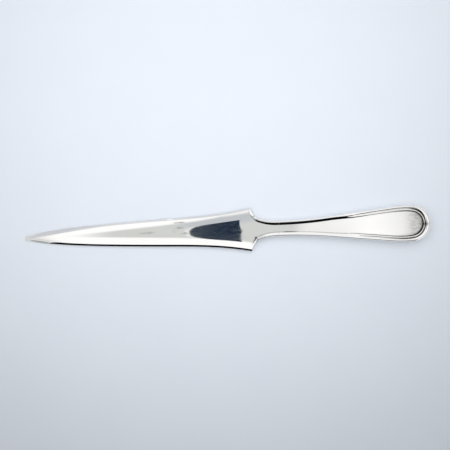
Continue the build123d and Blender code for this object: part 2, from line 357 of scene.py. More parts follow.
def slope_depth(q, start, width, drop):
    """Depth of a slope of some width that starts at a distance from the edge, with both its ends rounded."""
    soft = SLOPE_SOFTNESS * drop / PANEL_DEPTH
    slope = drop * (q - start) / width
    return np.clip(lower_of(higher_of(slope, 0.0, soft), drop, soft), 0, None)


def slope_start(x):
    """Where the slope beside the bead starts, further from the edge as the inner bead emerges."""
    drifted = smooth(x, INNER_BEAD_START - SLOPE_DRIFT_LEAD, INNER_BEAD_START + SLOPE_DRIFT_RUN)
    return SLOPE_START + SLOPE_DRIFT * drifted


def neck_depth(q, x):
    """Border at the neck: one bead, and a slope from it down to the panel."""
    slope = slope_depth(q, slope_start(x), SLOPE_WIDTH, PANEL_DEPTH)
    return np.where(q < BEAD_CROWN, bead_depth(q), slope)


def thread_depth(q, spread):
    """Border at the handle's end: two beads with a groove beside each, spread apart round the end."""
    inward = np.clip((q - BEAD_TOP) / (BEAD_INSIDE + spread), 0, 1)
    outer = np.where(q < BEAD_CROWN, bead_depth(q), BEAD_DROP * (1 - np.sqrt(1 - inward**2)))
    off_crown = np.clip(np.abs(q - INNER_BEAD - spread) / INNER_BEAD_RADIUS, 0, 1)
    inner = INNER_BEAD_CROWN + INNER_BEAD_RADIUS * (1 - np.sqrt(1 - off_crown**2))
    panel = PANEL_DEPTH + GROOVE_DEPTH * hump(q, INNER_BEAD + spread + INNER_GROOVE, GROOVE_WIDTH)
    beads = lower_of(outer, inner, THREAD_SOFTNESS)
    return np.where(q < BEAD_CROWN, outer, np.clip(lower_of(beads, panel, THREAD_SOFTNESS), 0, None))


def end_spread(x):
    """How far the threads move in from the edge round the end."""
    return END_SPREAD * smooth(x, END_CENTRE - SPREAD_LEAD, HANDLE_LENGTH)


def border_depth(q, x):
    """Depth of the handle's border under the crown, at a distance from the edge and a place along X."""
    emerged = smooth(x, INNER_BEAD_START, INNER_BEAD_FULL)
    return (1 - emerged) * neck_depth(q, x) + emerged * thread_depth(q, end_spread(x))


def on_concave_side(turn):
    """Point on the shoulder's concave side, turned from the neck towards the corner."""
    if turn < EASY_TURN:
        return NECK_START - NECK_RADIUS * sin(turn), NECK_HALF + NECK_RADIUS * (1 - cos(turn))
    return FLARE_CENTRE_X - FLARE_RADIUS * sin(turn), FLARE_CENTRE_Y - FLARE_RADIUS * cos(turn)


def concave_inset(x, y):
    """Distance in from the shoulder's concave side or the neck's side, and the turn there from the neck."""
    y = np.abs(y)
    easy_y = NECK_HALF + NECK_RADIUS
    flare_turn = np.arctan2(FLARE_CENTRE_X - x, FLARE_CENTRE_Y - y)
    easy_turn = np.arctan2(NECK_START - x, easy_y - y)
    from_flare = np.hypot(x - FLARE_CENTRE_X, y - FLARE_CENTRE_Y) - FLARE_RADIUS
    from_easy = np.hypot(x - NECK_START, y - easy_y) - NECK_RADIUS
    tight = flare_turn > EASY_TURN
    turn = np.where(tight, np.clip(flare_turn, 0, FLARE_TURN), np.clip(easy_turn, 0, EASY_TURN))
    inset = np.where(tight, from_flare, np.where(x < NECK_START, from_easy, NECK_HALF - y))
    return np.clip(inset, 0, None), turn


def rim_slope(turn, y):
    """Start, width and drop of the slope inside the rim, at a turn along the shoulder's concave side."""
    narrowing = RIM_NARROWING * smooth(turn, RIM_NARROW_FROM, RIM_NARROW_TO)
    narrowing += (1 - RIM_NARROWING) * smooth(turn, RIM_NARROW_TO, RIM_GONE)
    width = SLOPE_WIDTH * (1 - narrowing) + LEAST_RIM
    steepness = PANEL_DEPTH / SLOPE_WIDTH
    steepness *= 1 + RIM_STEEPENING * smooth(turn, RIM_STEEPEN_FROM, RIM_STEEPEN_TO)
    middle = SLOPE_START + SLOPE_WIDTH / 2 - RIM_SHIFT * smooth(turn, RIM_SHIFT_FROM, RIM_SHIFT_TO)
    middle -= LOW_SIDE_SHIFT * smooth(turn, LOW_SIDE_SHIFT_FROM, LOW_SIDE_SHIFT_TO) * (y < 0)
    return middle - width / 2, width, steepness * width


def rim_height(x, y):
    """Height of the border over the body of the shoulder, which it sinks into towards the corner."""
    inset, turn = concave_inset(x, y)
    start, width, drop = rim_slope(turn, y)
    height = drop - slope_depth(inset, start, width, drop)
    rounding = bead_depth(inset) * (1 - smooth(turn, RIM_ROUND_FROM, RIM_ROUND_TO))
    return np.where(inset < BEAD_CROWN, height - rounding, height) * smooth(x, *RIM_START)


def blade_height(x, y):
    """Half thickness of the blade, shoulder and neck stub at a place in plan."""
    run = np.clip(x + BLADE_LENGTH, 0, BLADE_LENGTH)
    behind = np.clip(x, 0, None)
    share = (POINT_THICKNESS + (BASE_THICKNESS - POINT_THICKNESS) * run / BLADE_LENGTH) / BASE_THICKNESS
    width = half_width(run) + behind * LAND_SLOPE
    bevel = BEVEL_WIDTH * (1 - np.exp(-width / BEVEL_WIDTH))
    edge = EDGE_THICKNESS / 2 * share
    thinned = 1 - TIP_THINNING * np.exp(-run / TIP_THINNING_RUN)
    crown = edge + (BASE_HALF * share - edge) * thinned + behind * tan(LEAN)
    rise = CROWN_RISE * share * (1 - smooth(x, 0.0, JOINT_X))
    face = crown - rise * (y / (width - bevel)) ** 2
    slope = (BASE_HALF - CROWN_RISE - EDGE_THICKNESS / 2) * share / BEVEL_WIDTH
    in_from_edge = np.clip(width - np.abs(y), 0, None)
    crease = LOW_CREASE + (HIGH_CREASE - LOW_CREASE) * smooth(y, -CREASE_CHANGE, CREASE_CHANGE)
    body = lower_of(face, edge + in_from_edge * slope, crease * share)
    return np.clip(body + rim_height(x, y), LEAST_HALF, None)


def across(start, direction, centre_x, distances):
    """Points in plan on a curve from an outline point, first along a direction, to the centre line."""
    start = np.asarray(start)
    reach = np.minimum(ROW_REACH, ROW_REACH_SHARE * start[1])
    one = start + np.asarray(direction) * reach
    two = np.array([centre_x, ROW_BEND_SHARE * start[1]])
    end = np.array([centre_x, 0.0])
    t = np.linspace(0, 1, ROW_SAMPLES)[:, None]
    curve = (1 - t) ** 3 * start + 3 * (1 - t) ** 2 * t * one + 3 * (1 - t) * t**2 * two + t**3 * end
    length = np.concatenate([[0], np.cumsum(np.hypot(*np.diff(curve, axis=0).T))])
    near = distances * min(1.0, length[-1] / FULL_ROW)
    far = np.linspace(near[-1], length[-1], len(distances) // 2 + 1)[1:]
    at = np.concatenate([near, far])
    return np.stack([np.interp(at, length, curve[:, 0]), np.interp(at, length, curve[:, 1])], -1)


def both_sides(half, flip=1):
    """Rows from the +Y edge to the centre line, carried on to the -Y edge and flipped there."""
    return np.concatenate([half, half[:, -2::-1] * flip], axis=1)


def blade_plan():
    """Plan of the blade's surface: rows from the point to the joint, each from the +Y edge to the -Y edge."""
    near_edge = np.linspace(0, EDGE_BAND, EDGE_POINTS)
    on_border = np.linspace(EDGE_BAND, BORDER_BAND, BORDER_POINTS)[1:]
    distances = np.concatenate([near_edge, on_border])
    crowded = EVEN_RUN * np.linspace(0, 1, CROWDED_ROWS) ** ROW_CROWDING
    even = np.linspace(EVEN_RUN, BLADE_LENGTH + CORNER_LAND, EVEN_ROWS)[1:]
    rows = []
    for x in np.concatenate([crowded, even]) - BLADE_LENGTH:
        y = float(half_width(min(x, 0.0) + BLADE_LENGTH) + max(0.0, x) * LAND_SLOPE)
        turn = CORNER_TURN * float(smooth(x, CORNER_TURN_START, CORNER_LAND))
        shift = ROW_BOW * sin(FLARE_TURN) * float(smooth(x, ROW_BOW_START, CORNER_LAND))
        rows.append(across((x, y), (-sin(turn), -cos(turn)), x - shift, distances))
    tight = np.linspace(FLARE_TURN, EASY_TURN, TIGHT_ROWS)[1:]
    easy = np.linspace(EASY_TURN, 0, EASY_ROWS)[1:]
    for turn in np.concatenate([tight, easy]):
        start = on_concave_side(turn)
        blend = float(smooth(turn, FLARE_TURN - CORNER_TURN_BLEND, FLARE_TURN))
        away = turn + (CORNER_TURN - turn) * blend
        rows.append(across(start, (-sin(away), -cos(away)), start[0] - ROW_BOW * sin(turn), distances))
    for x in np.linspace(NECK_START, JOINT_X, STUB_ROWS)[1:]:
        rows.append(across((x, NECK_HALF), (0, -1), x, distances))
    return both_sides(np.array(rows), (1, -1))


def quads(rows, columns, first=0):
    """Faces of a grid whose rows run along +X and whose columns run from +Y to -Y, facing up."""
    at = first + np.arange(rows * columns).reshape(rows, columns)
    corners = (at[:-1, :-1], at[:-1, 1:], at[1:, 1:], at[1:, :-1])
    return np.stack([c.ravel() for c in corners], -1).tolist()


def strip(a, b):
    """Faces between two lines of points."""
    return [[a[i], a[i + 1], b[i + 1], b[i]] for i in range(len(a) - 1)]


def new_mesh(name, points, faces, masks):
    """Object made of points in the flat frame, with coincident points joined and its creases marked."""
    mesh = bpy.data.meshes.new(name)
    mesh.from_pydata(laid_down(points).tolist(), [], faces)
    for mask, values in masks.items():
        layer = mesh.attributes.new(mask, "FLOAT", "POINT")
        layer.data.foreach_set("value", np.asarray(values, np.float32))
    work = bmesh.new()
    work.from_mesh(mesh)
    bmesh.ops.remove_doubles(work, verts=work.verts, dist=JOIN_DISTANCE)
    bmesh.ops.dissolve_degenerate(work, edges=work.edges, dist=SLIVER)
    bmesh.ops.recalc_face_normals(work, faces=work.faces)
    work.to_mesh(mesh)
    work.free()
    mesh.shade_smooth()
    mesh.set_sharp_from_angle(angle=CREASE_ANGLE)
    piece = bpy.data.objects.new(name, mesh)
    bpy.context.scene.collection.objects.link(piece)
    return piece


def both_faces(plan, height):
    """Points and faces of a closed body, the same above and below the middle plane."""
    rows, columns = plan.shape[:2]
    top = np.concatenate([plan, height[..., None]], -1).reshape(-1, 3)
    points = np.concatenate([top, top * (1, 1, -1)])
    upper = np.arange(rows * columns).reshape(rows, columns)
    lower = upper + rows * columns
    faces = quads(rows, columns) + [face[::-1] for face in quads(rows, columns, rows * columns)]
    faces += strip(upper[:, 0], lower[:, 0]) + strip(lower[:, -1], upper[:, -1])
    faces += strip(lower[0], upper[0]) + strip(upper[-1], lower[-1])
    return points, faces


def foot_amount(x):
    """Residue along the foot of the border's slope near the neck."""
    darker = FOOT_DARKER * hump(x, FOOT_DARK_X, FOOT_DARK_LENGTH)
    return (FOOT_LINE + darker) * (1 - smooth(x, *FOOT_END))


def blade_masks(x, y, z):
    """Dark residue in the border's foot, and wiping marks with the painted shade of a dent, on the front of
    the blade.
    """
    front = z > 0
    residue = np.zeros(len(x))
    marks_and_dent_shade = np.zeros(len(x))
    for place in RESIDUE:
        residue += spot(x, y, *place)
    inset, turn = concave_inset(x, y)
    start, width = rim_slope(turn, y)[:2]
    foot = hump(inset, start + FOOT_SHARE * width, FOOT_LINE_WIDTH) * smooth(x, *FOOT_START) * (y < 0)
    residue += foot_amount(x) * foot
    rim_line = smooth(turn, *RIM_LINE_FROM) * (1 - RIM_LINE_FADE * smooth(turn, *RIM_LINE_TO))
    rim_line *= hump(inset, start + width / 2, RIM_LINE_WIDTH) * (turn < RIM_LINE_GONE) * (y > 0)
    residue += RIM_LINE * rim_line
    for at_x, at_y, long, wide, amount in MARKS_AND_DENT_SHADE:
        marks_and_dent_shade += amount * np.exp(-(((x - at_x) / long) ** 4)) * hump(y, at_y, wide)
    return {"tarnish_and_shade": np.clip(residue, 0, 1) * front, "marks_and_dent_shade": marks_and_dent_shade * front}


def handle_stations():
    """Points on the handle's +Y edge from the mouth to the end, and the directions in from the edge there."""
    places = []
    for x in np.linspace(MOUTH_X, SIDE_START, NECK_ROWS):
        places.append((x, NECK_HALF, 0.0))
    for turn in np.linspace(0, SIDE_ANGLE, SIDE_ROWS)[1:]:
        places.append((SIDE_START + SIDE_RADIUS * sin(turn), NECK_HALF + SIDE_RADIUS * (1 - cos(turn)), turn))
    last = places[-1]
    for run in np.linspace(0, STRAIGHT, STRAIGHT_ROWS)[1:]:
        places.append((last[0] + run * cos(SIDE_ANGLE), last[1] + run * sin(SIDE_ANGLE), SIDE_ANGLE))
    for turn in np.linspace(SIDE_ANGLE, -END_TURN, SWELL_ROWS)[1:]:
        places.append((WIDEST_X - SWELL_RADIUS * sin(turn), END_HALF - SWELL_RADIUS * (1 - cos(turn)), turn))
    for turn in np.linspace(-END_TURN, -pi / 2, END_ROWS)[1:]:
        places.append((END_CENTRE - END_RADIUS * sin(turn), END_RADIUS * cos(turn), turn))
    x, y, turn = np.array(places).T
    return np.stack([x, y], -1), np.stack([np.sin(turn), -np.cos(turn)], -1)


def rim_insets():
    """Distances in from the handle's edge, close together where the border curves."""
    outer = BEAD_CROWN * (1 - np.cos(np.linspace(0, pi / 2, BEAD_POINTS)))
    border = np.linspace(BEAD_CROWN, BORDER_REACH, RIM_POINTS)[1:]
    return np.concatenate([outer, border, BORDER_REACH + np.array(PANEL_STEPS)])


def handle_face():
    """Plan of the handle's face, in rows from the +Y edge to the -Y edge, and distances in from the edge."""
    edge, inward = handle_stations()
    insets = rim_insets()
    to_axis = SHORT_OF_AXIS * edge[:, 1] / np.maximum(-inward[:, 1], LEAST_INWARD)
    reach = np.minimum(insets[None, :], to_axis[:, None])
    reach[-1] = insets
    rim = edge[:, None] + inward[:, None] * reach[..., None]
    shares = np.linspace(1, 0, PANEL_POINTS)[1:]
    last = rim[:, -1]
    middle = np.stack([np.repeat(last[:, :1], len(shares), 1), last[:, 1:] * shares], -1)
    half = np.concatenate([rim, middle], axis=1)
    inset = np.concatenate([reach, np.full((len(edge), len(shares)), PANEL_INSET)], axis=1)
    return both_sides(half, (1, -1)), both_sides(inset)


def handle_underside():
    """Points under one half of the handle, in rows across it: seam face, hollow and seam face."""
    edge, inward = handle_stations()
    wall = edge + inward * SIDE_WALL
    seam_z = np.full(len(edge), SOLDER / 2)
    roof_z = crown_height(wall[:, 0]) - PANEL_DEPTH - PANEL_WALL
    outer_edge = np.column_stack([edge, seam_z])
    inner_edge = np.column_stack([wall, seam_z])
    shares = np.linspace(1, -1, ROOF_POINTS)
    roof = [np.column_stack([wall[:, 0], wall[:, 1] * share, roof_z]) for share in shares]
    mirrored = np.array([1, -1, 1])
    return np.stack([outer_edge, inner_edge, *roof, inner_edge * mirrored, outer_edge * mirrored], axis=1)


def handle_shell(name, side):
    """One struck half of the hollow handle: border, panel, edge wall, seam face and hollow."""
    plan, inset = handle_face()
    height = crown_height(plan[..., 0]) - border_depth(inset, plan[..., 0])
    top = np.concatenate([plan, height[..., None]], -1)
    below = handle_underside()
    rows, columns = plan.shape[:2]
    under = below.shape[1]
    points = np.concatenate([top.reshape(-1, 3), below.reshape(-1, 3)])
    above = np.arange(rows * columns).reshape(rows, columns)
    below_at = rows * columns + np.arange(rows * under).reshape(rows, under)
    faces = quads(rows, columns) + [face[::-1] for face in quads(rows, under, rows * columns)]
    faces += strip(above[:, 0], below_at[:, 0]) + strip(below_at[:, -1], above[:, -1])
    mouth = np.concatenate([above[0], below_at[0, ::-1]])
    flat = [Vector((points[i][1], points[i][2], 0)) for i in mouth]
    faces += [[int(mouth[i]) for i in corner] for corner in tessellate_polygon([flat])]

    tarnish_and_shade = np.concatenate([border_tarnish_and_shade(inset, plan), np.zeros((rows, under))], axis=None)
    film = np.concatenate([panel_film(inset, plan), np.zeros((rows, under))], axis=None)
    masks = {"tarnish_and_shade": tarnish_and_shade, "marks_and_dent_shade": film}
    return new_mesh(name, points * (1, 1, side), faces, masks)


def border_tarnish_and_shade(inset, plan):
    """Dark residue in the two grooves, strongest round the end, with painted shade on the panel beside the
    inner one.
    """
    x, y = plan[..., 0], plan[..., 1]
    spread = end_spread(x)
    low_side = smooth(-y, *SIDE_CHANGE)
    high_side = 1 - low_side
    growth = smooth(x, *GROWTH_ALONG)

    outer = hump(inset, OUTER_LINE_IN + spread, OUTER_LINE_WIDTH + OUTER_LINE_GROWTH * growth)
    amount, start, full = OUTER_END
    start_earlier, full_earlier = OUTER_END_EARLIER
    outer_amount = coming_in(x, amount, start - start_earlier * low_side, full - full_earlier * low_side)
    outer_amount += low_side * coming_in(x, *OUTER_LOW) + high_side * coming_in(x, *OUTER_HIGH)

    inner_groove = INNER_BEAD + spread + INNER_LINE_IN
    inner = hump(inset, inner_groove, INNER_LINE_WIDTH + INNER_LINE_GROWTH * growth)
    inner_amount = coming_in(x, *INNER_END)
    inner_amount += low_side * coming_in(x, *INNER_LOW) + high_side * coming_in(x, *INNER_HIGH)

    # Painted shade on the panel beside the inner groove, round the end and more on the -Y side
    shade = coming_in(x, *SHADE_END) + low_side * (coming_in(x, *SHADE_END_LOW) + coming_in(x, *SHADE_LOW))
    shade *= hump(inset, inner_groove + SHADE_IN, SHADE_WIDTH)
    foot = hump(inset, slope_start(x) + FOOT_SHARE * SLOPE_WIDTH, FOOT_LINE_WIDTH) * low_side * (y < 0)
    clot = spot(x, y, *END_CLOT) * (inset > BEAD_CROWN)
    return outer * outer_amount + inner * inner_amount + foot * foot_amount(x) + shade + clot


def panel_film(inset, plan):
    """Thin patchy film on the panel near the round end."""
    return coming_in(plan[..., 0], *PANEL_FILM) * smooth(inset, *PANEL_FILM_IN)


def tang_points():
    """Points and faces of the tang inside the handle."""
    root = NECK_HALF - SIDE_WALL - CEMENT_BESIDE_TANG
    tip = TANG_END_WIDTH / 2
    end = HANDLE_LENGTH - SIDE_WALL - CEMENT_BEYOND_TANG
    height = crown_height(JOINT_X) - PANEL_DEPTH - PANEL_WALL - CEMENT_ABOVE_TANG
    stations = [(JOINT_X - TANG_ROOT, root), (MOUTH_X, root), (end, tip)]
    turns = np.linspace(0, pi / 2 - TANG_TIP_GAP, TANG_TIP_ROWS)[1:]
    stations += [(end + tip * sin(turn), tip * cos(turn)) for turn in turns]
    shares = np.linspace(1, -1, TANG_POINTS)
    plan = np.array([[(x, y * share) for share in shares] for x, y in stations])
    return both_faces(plan, np.full(plan.shape[:2], height))


def blade_with_tang(name):
    """Blade, shoulder, neck stub and tang."""
    plan = blade_plan()
    points, faces = both_faces(plan, blade_height(plan[..., 0], plan[..., 1]))
    masks = blade_masks(*points.T)
    tang, tang_faces = tang_points()
    faces += [[i + len(points) for i in face] for face in tang_faces]
    masks = {mask: np.concatenate([values, np.zeros(len(tang))]) for mask, values in masks.items()}
    return new_mesh(name, np.concatenate([points, tang]), faces, masks)


# Colours of the materials
BRIGHT_SILVER = (0.955, 0.95, 0.935, 1)
CLOUDED_SILVER = (0.93, 0.924, 0.907, 1)
# Grey of the smears, also used for the painted shade of a dent on the blade
SMEAR_AND_DENT_SHADE_SILVER = (0.42, 0.42, 0.39, 1)
# Brown-black of the tarnish, also used for the painted shade beside the handle's inner groove
TARNISH_AND_SHADE = (0.03, 0.026, 0.02, 1)
PALE_SOLDER = (0.9, 0.88, 0.84, 1)
DULL_SOLDER = (0.74, 0.71, 0.66, 1)
BROWN_CEMENT = (0.16, 0.085, 0.045, 1)
DARK_CEMENT = (0.09, 0.045, 0.025, 1)
CEMENT_GRAIN = (0.4, 0.3, 0.2, 1)

# Silver: its roughness, what residue with painted shade and smears with a painted dent add to it, and how
# patchy and streaky these are
SILVER_ROUGHNESS = (0.02, 0.06)
RESIDUE_ROUGHNESS = 0.3
RESIDUE_AND_SHADE_PATCHES = (0.6, 1.0)
SMEAR_ROUGHNESS = 0.12
SMEAR_AND_DENT_STREAKS = (0.2, 0.5)

# Solder and cement: roughness, bump, its depth in metres, and how much the grains of filler show
SOLDER_ROUGHNESS = (0.16, 0.34)
SOLDER_BUMP = 0.2
SOLDER_DEPTH = 0.00003
CEMENT_ROUGHNESS = (0.7, 0.95)
CEMENT_BUMP = 0.5
CEMENT_DEPTH = 0.0001
CEMENT_GRAINS = (0.0, 0.7)

# Ways that an eased value goes, and stretches of a noise's range in which it does so
RISING = (0.0, 1.0)
FALLING = (1.0, 0.0)
MIDDLE = (0.35, 0.65)
WIDE_MIDDLE = (0.3, 0.7)
HIGH_MIDDLE = (0.45, 0.65)
LOW_PART = (0.25, 0.55)
HIGH_PART = (0.35, 0.8)
PEAKS = (0.6, 0.7)

# Hairline scratches: direction, seed and the peaks of the noise that show, width in metres, length in widths,
# and their bump
HAIRS = ((0.05, 3.1, (0.66, 0.74)), (-0.2, 4.7, (0.68, 0.76)), (0.5, 5.3, (0.68, 0.76)))
HAIR_WIDTH = 0.00016
HAIR_LENGTH = 45.0
HAIR_BUMP = 0.005
HAIR_DEPTH = 0.00002


def node_tree(name):
    """New material and its empty node tree."""
    material = bpy.data.materials.new(name)
    material.use_nodes = True
    material.node_tree.nodes.clear()
    return material, material.node_tree


def fill(tree, node, inputs):
    """Link each input that is a socket, and set each one that is a value."""
    for key, value in inputs.items():
        if isinstance(value, bpy.types.NodeSocket):
            tree.links.new(value, node.inputs[key])
        else:
            node.inputs[key].default_value = value


def add(tree, kind, inputs=None, **settings):
    """New node with its settings and inputs."""
    node = tree.nodes.new(kind)
    for key, value in settings.items():
        setattr(node, key, value)
    fill(tree, node, inputs or {})
    return node


def ranged(tree, value, between, to=RISING):
    """Value eased from one range to another."""
    inputs = {0: value, 1: between[0], 2: between[1], 3: to[0], 4: to[1]}
    return add(tree, "ShaderNodeMapRange", inputs, interpolation_type="SMOOTHSTEP").outputs[0]


def calc(tree, operation, a, b):
    """Sum, product or the like of two values."""
    return add(tree, "ShaderNodeMath", {0: a, 1: b}, operation=operation).outputs[0]


def line(tree, x, slope, offset):
    """Straight line over x."""
    return calc(tree, "ADD", calc(tree, "MULTIPLY", x, slope), offset)


def noise(tree, size, detail, seed, stretch=1.0, turn=0.0):
    """Noise in the object's frame, with features of a given size in metres and stretched along X."""
    place = add(tree, "ShaderNodeTexCoord").outputs["Object"]
    moved = {"Vector": place, "Rotation": (0, 0, turn), "Location": (seed, seed, 0)}
    turned = add(tree, "ShaderNodeMapping", moved).outputs[0]
    stretched = add(tree, "ShaderNodeMapping", {"Vector": turned, "Scale": (1 / stretch, 1, 1)}).outputs[0]
    inputs = {"Vector": stretched, "Scale": 1 / size, "Detail": detail}
    return add(tree, "ShaderNodeTexNoise", inputs).outputs[0]


def in_plan(tree):
    """X and Y in the object's frame."""
    place = add(tree, "ShaderNodeTexCoord").outputs["Object"]
    return add(tree, "ShaderNodeSeparateXYZ", {0: place}).outputs[:2]


def mixed(tree, factor, a, b):
    """Blend of two colours."""
    node = add(tree, "ShaderNodeMix", data_type="RGBA")
    fill(tree, node, {0: factor, 6: a, 7: b})
    return node.outputs[2]


def surfaced(material, tree, inputs):
    """Finish a material with one principled surface."""
    shader = add(tree, "ShaderNodeBsdfPrincipled", inputs)
    add(tree, "ShaderNodeOutputMaterial", {"Surface": shader.outputs[0]})
    return material


def silver_material():
    """Polished silver: wiping haze, hairline scratches, brown-black tarnish and painted shade, smears and a
    painted dent, where the masks say.
    """
    material, tree = node_tree("polished_silver")
    tarnish_and_shade = add(tree, "ShaderNodeAttribute", attribute_name="tarnish_and_shade").outputs["Fac"]
    marks_and_dent_shade = add(tree, "ShaderNodeAttribute", attribute_name="marks_and_dent_shade").outputs["Fac"]
    haze = noise(tree, size=0.0016, detail=4.0, seed=0.3, stretch=7.0, turn=0.03)
    cloud = noise(tree, size=0.012, detail=2.0, seed=1.7, stretch=2.0)
    patchy = noise(tree, size=0.0009, detail=3.0, seed=2.9)
    streak = noise(tree, size=0.0011, detail=4.0, seed=7.7, stretch=2.2)
    # The tarnish mask also holds the painted shade beside the handle's inner groove
    tarnished_and_shaded = calc(tree, "MULTIPLY", tarnish_and_shade, ranged(tree, patchy, LOW_PART, RESIDUE_AND_SHADE_PATCHES))
    tint = mixed(tree, ranged(tree, cloud, MIDDLE), BRIGHT_SILVER, CLOUDED_SILVER)
    # Smears, and the painted shade of a dent on the blade, mix in the grey of smeared silver
    smear_and_dent_shade = calc(tree, "MULTIPLY", marks_and_dent_shade, ranged(tree, streak, MIDDLE, SMEAR_AND_DENT_STREAKS))
    smeared_and_dent_shaded = mixed(tree, smear_and_dent_shade, tint, SMEAR_AND_DENT_SHADE_SILVER)
    colour = mixed(tree, tarnished_and_shaded, smeared_and_dent_shaded, TARNISH_AND_SHADE)
    polish = ranged(tree, haze, HIGH_PART, SILVER_ROUGHNESS)
    roughness = calc(tree, "ADD", polish, calc(tree, "MULTIPLY", tarnished_and_shaded, RESIDUE_ROUGHNESS))
    roughness = calc(tree, "ADD", roughness, calc(tree, "MULTIPLY", marks_and_dent_shade, SMEAR_ROUGHNESS))
    hairs = []
    for turn, seed, shown in HAIRS:
        hair = noise(tree, size=HAIR_WIDTH, detail=1.0, seed=seed, stretch=HAIR_LENGTH, turn=turn)
        hairs.append(ranged(tree, hair, shown))
    scratch = hairs[0]
    for hair in hairs[1:]:
        scratch = calc(tree, "MAXIMUM", scratch, hair)
    dent = {"Strength": HAIR_BUMP, "Distance": HAIR_DEPTH, "Height": scratch}
    bump = add(tree, "ShaderNodeBump", dent, invert=True)
    inputs = {"Base Color": colour, "Metallic": 1.0, "Roughness": roughness, "Normal": bump.outputs[0]}
    return surfaced(material, tree, inputs)


def solder_material():
    """Silver solder: a little greyer and duller than the sheet beside it."""
    material, tree = node_tree("silver_solder")
    grain = noise(tree, size=0.0006, detail=3.0, seed=0.9)
    colour = mixed(tree, grain, PALE_SOLDER, DULL_SOLDER)
    dent = {"Strength": SOLDER_BUMP, "Distance": SOLDER_DEPTH, "Height": grain}
    bump = add(tree, "ShaderNodeBump", dent)
    roughness = ranged(tree, grain, WIDE_MIDDLE, SOLDER_ROUGHNESS)
    inputs = {"Base Color": colour, "Metallic": 1.0, "Roughness": roughness, "Normal": bump.outputs[0]}
    return surfaced(material, tree, inputs)


def cement_material():
    """Brown handle cement with grains of filler."""
    material, tree = node_tree("handle_cement")
    grain = noise(tree, size=0.0005, detail=5.0, seed=0.4)
    blotch = noise(tree, size=0.006, detail=2.0, seed=1.4)
    colour = mixed(tree, ranged(tree, blotch, MIDDLE), BROWN_CEMENT, DARK_CEMENT)
    colour = mixed(tree, ranged(tree, grain, PEAKS, CEMENT_GRAINS), colour, CEMENT_GRAIN)
    dent = {"Strength": CEMENT_BUMP, "Distance": CEMENT_DEPTH, "Height": grain}
    bump = add(tree, "ShaderNodeBump", dent)
    roughness = ranged(tree, grain, WIDE_MIDDLE, CEMENT_ROUGHNESS)
    return surfaced(material, tree, {"Base Color": colour, "Roughness": roughness, "Normal": bump.outputs[0]})


# Pieces: the blade with its tang, and the two halves of the handle
blade = blade_with_tang("blade_polished")
handle_front = handle_shell("handle_front_polished", 1)
handle_back = handle_shell("handle_back_polished", -1)

silver = silver_material()
for piece, node in ((blade, "blade"), (handle_front, "handle_front"), (handle_back, "handle_back")):
    piece.data.materials.append(silver)
    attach(piece, "root")
    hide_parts(node)

solder = solder_material()
cement = cement_material()
for node, material in (("seam_solder", solder), ("neck_solder", solder), ("handle_filler", cement)):
    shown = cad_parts[node]
    shown.data.materials.clear()
    shown.data.materials.append(material)

# Stage: floor, lamp, world, and the ceiling and cards that only the silver mirrors. Corners of the floor,
# ceiling and cards are in millimetres, and colours are linear.
FLOOR_HALF = 4000
FLOOR_Z = -0.01
FLOOR_COLOUR = (0.83, 0.88, 0.95, 1)
FLOOR_CLOUD = (0.82, 0.87, 0.942, 1)
FLOOR_ROUGHNESS = 0.6
SQUARE = ((-1, -1), (1, -1), (1, 1), (-1, 1))

# Colours of the background at the horizon and above, the rise over which one turns into the other, and the
# distances from the object, in metres, between which the floor fades into it
HORIZON = (0.86, 0.885, 0.92, 1)
HIGH_SKY = (0.97, 0.98, 1.0, 1)
SKY_RISE = (0.0, 0.6)
FLOOR_FADE = (0.152, 0.34)

# Ceiling: its sides, its brightness along X, and the greys of the wedge in the middle and of the part at the
# back
CEILING_X = (-420, 420)
CEILING_Y = (-122, 330)
CEILING_Z = 300
CEILING_LEVELS = (
    (-230, 0.66), (-207, 0.7), (-201, 0.75), (-193, 0.86), (-185, 0.98), (-178, 1.06), (40, 1.07), (66, 0.9),
    (86, 0.92), (108, 0.99), (124, 1.06), (138, 1.02), (147, 0.97), (158, 0.89), (168, 0.76), (175, 0.62),
    (190, 0.42),
)
WEDGE_GREY = (0.665, 0.678, 0.665, 1)
COOL_GREY = (0.56, 0.588, 0.62, 1)
FAR_LEFT_GREY = (0.62, 0.632, 0.67, 1)
FAR_GREY = (0.75, 0.762, 0.79, 1)
FAR_WHITE = (0.97, 0.975, 0.98, 1)

# Wedge, in metres: its reach to the back and to the front is the less of two lines over X, each a slope and a
# value at X = 0. Then how soft these edges are, where it comes in and goes along X, and where it is cooler.
WEDGE_BACK = ((-0.4, 0.076), (0.5, 0.095))
WEDGE_FRONT = ((0.2, 0.0574), (0.3, 0.0626))
WEDGE_BACK_SOFT = (-0.011, 0.011)
WEDGE_FRONT_SOFT = (-0.007, 0.007)
WEDGE_LEFT = (-0.172, -0.115)
WEDGE_RIGHT = (0.05, 0.068)
COOL_BACK = (0.02, 0.045)
COOL_RIGHT = (-0.075, -0.035)

# Part at the back, in metres: its edge as a line over X, the furthest that this goes, how soft it is, and
# where the colours change along X
FAR_EDGE = (0.49, 0.152)
FAR_EDGE_LIMIT = 0.112
FAR_SOFT = (-0.006, 0.01)
FAR_GREY_X = (-0.19, -0.12)
FAR_WHITE_X = (-0.035, -0.01)

# Dark card over the object and its pale rim: right side, middle, reach to the left and half width. Their
# bulge to the left is squarer than an ellipse.
CARD_ROUNDING = 2 / 3
CARD_POINTS = 33
CAMERA_CARD = (0, -7, 45.5, 54)
CAMERA_CARD_RIGHT = (5, -8)
CAMERA_CARD_Z = 296
CAMERA_CARD_DARK = (0.013, 0.026, 0.05, 1)
CAMERA_CARD_PALE = (0.065, 0.078, 0.1, 1)
CAMERA_RIM = (-4, -7, 46.5, 49)
CAMERA_RIM_Z = 297
CAMERA_RIM_COLOUR = (0.86, 0.87, 0.865)

